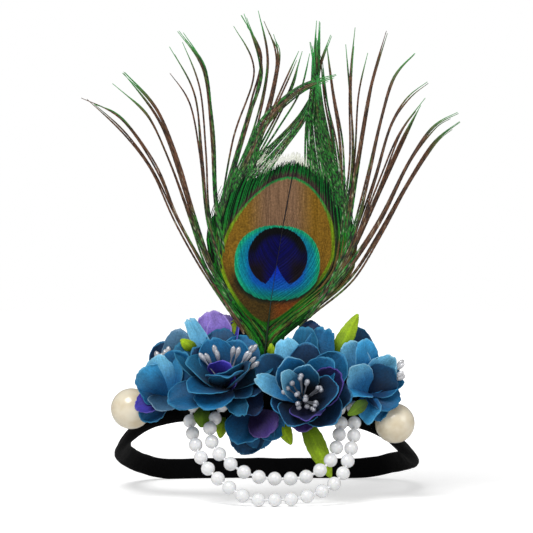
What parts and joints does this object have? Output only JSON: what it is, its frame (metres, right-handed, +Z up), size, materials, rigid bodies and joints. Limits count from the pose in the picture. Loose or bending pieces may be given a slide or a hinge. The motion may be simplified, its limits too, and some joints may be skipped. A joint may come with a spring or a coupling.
{
  "type": "peacock feather headband",
  "caption": "Costume headband: black elastic loop with a cluster of blue paper flowers, swags of small pearls, large end pearls and an upright peacock eye feather.",
  "frame": {"origin": "middle of the bounding box, on the surface that the band's back rests on", "axes": "+Z up along the feather, -Y towards the front where the flowers are, +X to the viewer's right"},
  "size_m": [0.1372, 0.1344, 0.1774],
  "materials": {
    "black_velvet": "black velvet over elastic",
    "black_felt": "matt black felt",
    "feather": "iridescent barbs: navy heart, turquoise ring, bronze and green round it",
    "blue_paper": "dyed mulberry paper, deep teal to light blue, with purple edges on some petals",
    "purple_paper": "dyed mulberry paper, lilac to dark blue",
    "green_paper": "dyed mulberry paper, lime to olive",
    "stamen": "pearl-lacquered stamen heads on thread",
    "ivory_pearl": "ivory imitation pearl",
    "white_pearl": "white imitation pearl"
  },
  "bodies": {
    "root": {"band": "black_velvet", "felt_backing": "black_felt", "feather": "feather", "flower_left_centre": "blue_paper", "flower_right_centre": "blue_paper", "flower_left": "blue_paper", "flower_right": "blue_paper", "blossom_bottom": "blue_paper", "bud_top": "purple_paper", "stamens_left_centre": "stamen", "stamens_right_centre": "stamen", "stamens_left": "stamen", "stamens_right": "stamen", "leaf_1": "green_paper", "leaf_2": "green_paper", "leaf_3": "green_paper", "leaf_4": "green_paper", "leaf_5": "green_paper", "leaf_6": "green_paper", "leaf_7": "green_paper", "leaf_8": "green_paper", "leaf_9": "green_paper", "pearl_left": "ivory_pearl", "pearl_right": "ivory_pearl", "pearl_strand_outer": "white_pearl", "pearl_strand_inner": "white_pearl"}
  },
  "joints": []
}
